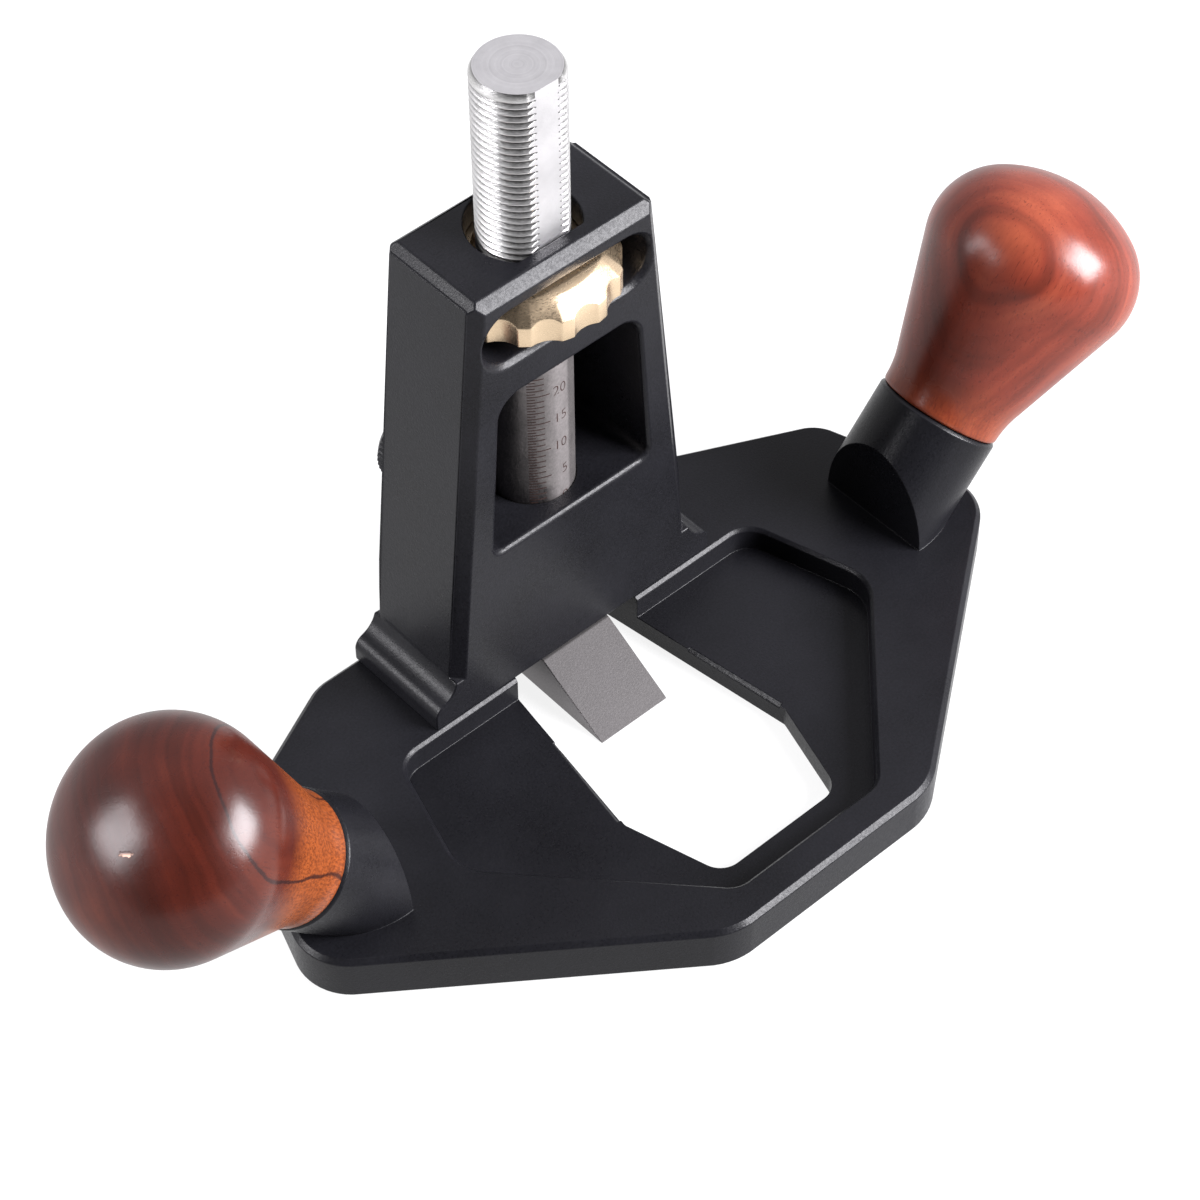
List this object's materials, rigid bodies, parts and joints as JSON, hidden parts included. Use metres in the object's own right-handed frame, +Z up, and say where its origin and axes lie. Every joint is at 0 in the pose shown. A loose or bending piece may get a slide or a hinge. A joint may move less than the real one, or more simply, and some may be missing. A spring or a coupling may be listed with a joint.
{
  "type": "hand router plane",
  "caption": "Hand router plane: open-mouthed black sole plate, two tilted wooden knobs, and a tower with a graduated post, thumb nut and clamp screw that set the blade's depth.",
  "frame": {"origin": "on the sole plane, at the middle of the part's outer box in X and Y", "axes": "+X to the right-hand knob, +Y away from the open front of the mouth towards the lock screw, +Z up from the sole along the post"},
  "size_m": [0.1772, 0.0852, 0.103],
  "materials": {
    "anodised_base": "black anodised over bead-blasted aluminium",
    "anodised_tower": "black anodised over bead-blasted aluminium",
    "post_steel": "turned and threaded steel",
    "nut_brass": "machined brass",
    "blade_steel": "matte ground tool steel",
    "screw_steel": "dark steel",
    "pin_steel": "ground steel",
    "lock_black": "black anodised",
    "lock_steel": "steel screw",
    "pad_brass": "brass",
    "wood_left": "lacquered red-brown hardwood",
    "wood_right": "lacquered red-brown hardwood",
    "insert_brass": "brass",
    "stud_steel": "steel",
    "fastener_steel": "black oxide steel"
  },
  "bodies": {
    "frame": {"base_plate": "anodised_base", "tower": "anodised_tower", "tower_screws": "fastener_steel", "tower_dowels": "pin_steel", "knob_left": "wood_left", "knob_right": "wood_right", "knob_insert_left": "insert_brass", "knob_insert_right": "insert_brass", "knob_stud_left": "stud_steel", "knob_stud_right": "stud_steel"},
    "nut": {"depth_nut": "nut_brass"},
    "post": {"depth_post": "post_steel", "blade": "blade_steel", "blade_screw": "screw_steel", "blade_pin": "pin_steel"},
    "lock_tip": {"lock_pad": "pad_brass"},
    "lock": {"lock_screw": "lock_steel", "lock_knob": "lock_black"}
  },
  "joints": [
    {"name": "nut_turn", "type": "hinge", "parent": "frame", "child": "nut", "pos_m": [0, 0.0166, 0.0705], "axis": [0, 0, 1], "range_deg": [0, 8640]},
    {"name": "post_slide", "type": "slide", "parent": "frame", "child": "post", "axis": [0, 0, -1], "range_m": [0, 0.024]},
    {"name": "lock_slide", "type": "slide", "parent": "frame", "child": "lock_tip", "axis": [0, 1, 0], "range_m": [0, 0.002]},
    {"name": "lock_turn", "type": "hinge", "parent": "lock_tip", "child": "lock", "pos_m": [0, 0.0316, 0.0209], "axis": [0, 1, 0], "range_deg": [0, 720]}
  ],
  "couplings": [
    {"joint": "nut_turn", "follows": "post_slide", "rad_per_m": 6283.2},
    {"joint": "lock_slide", "follows": "lock_turn", "m_per_rad": 0.00015915}
  ]
}
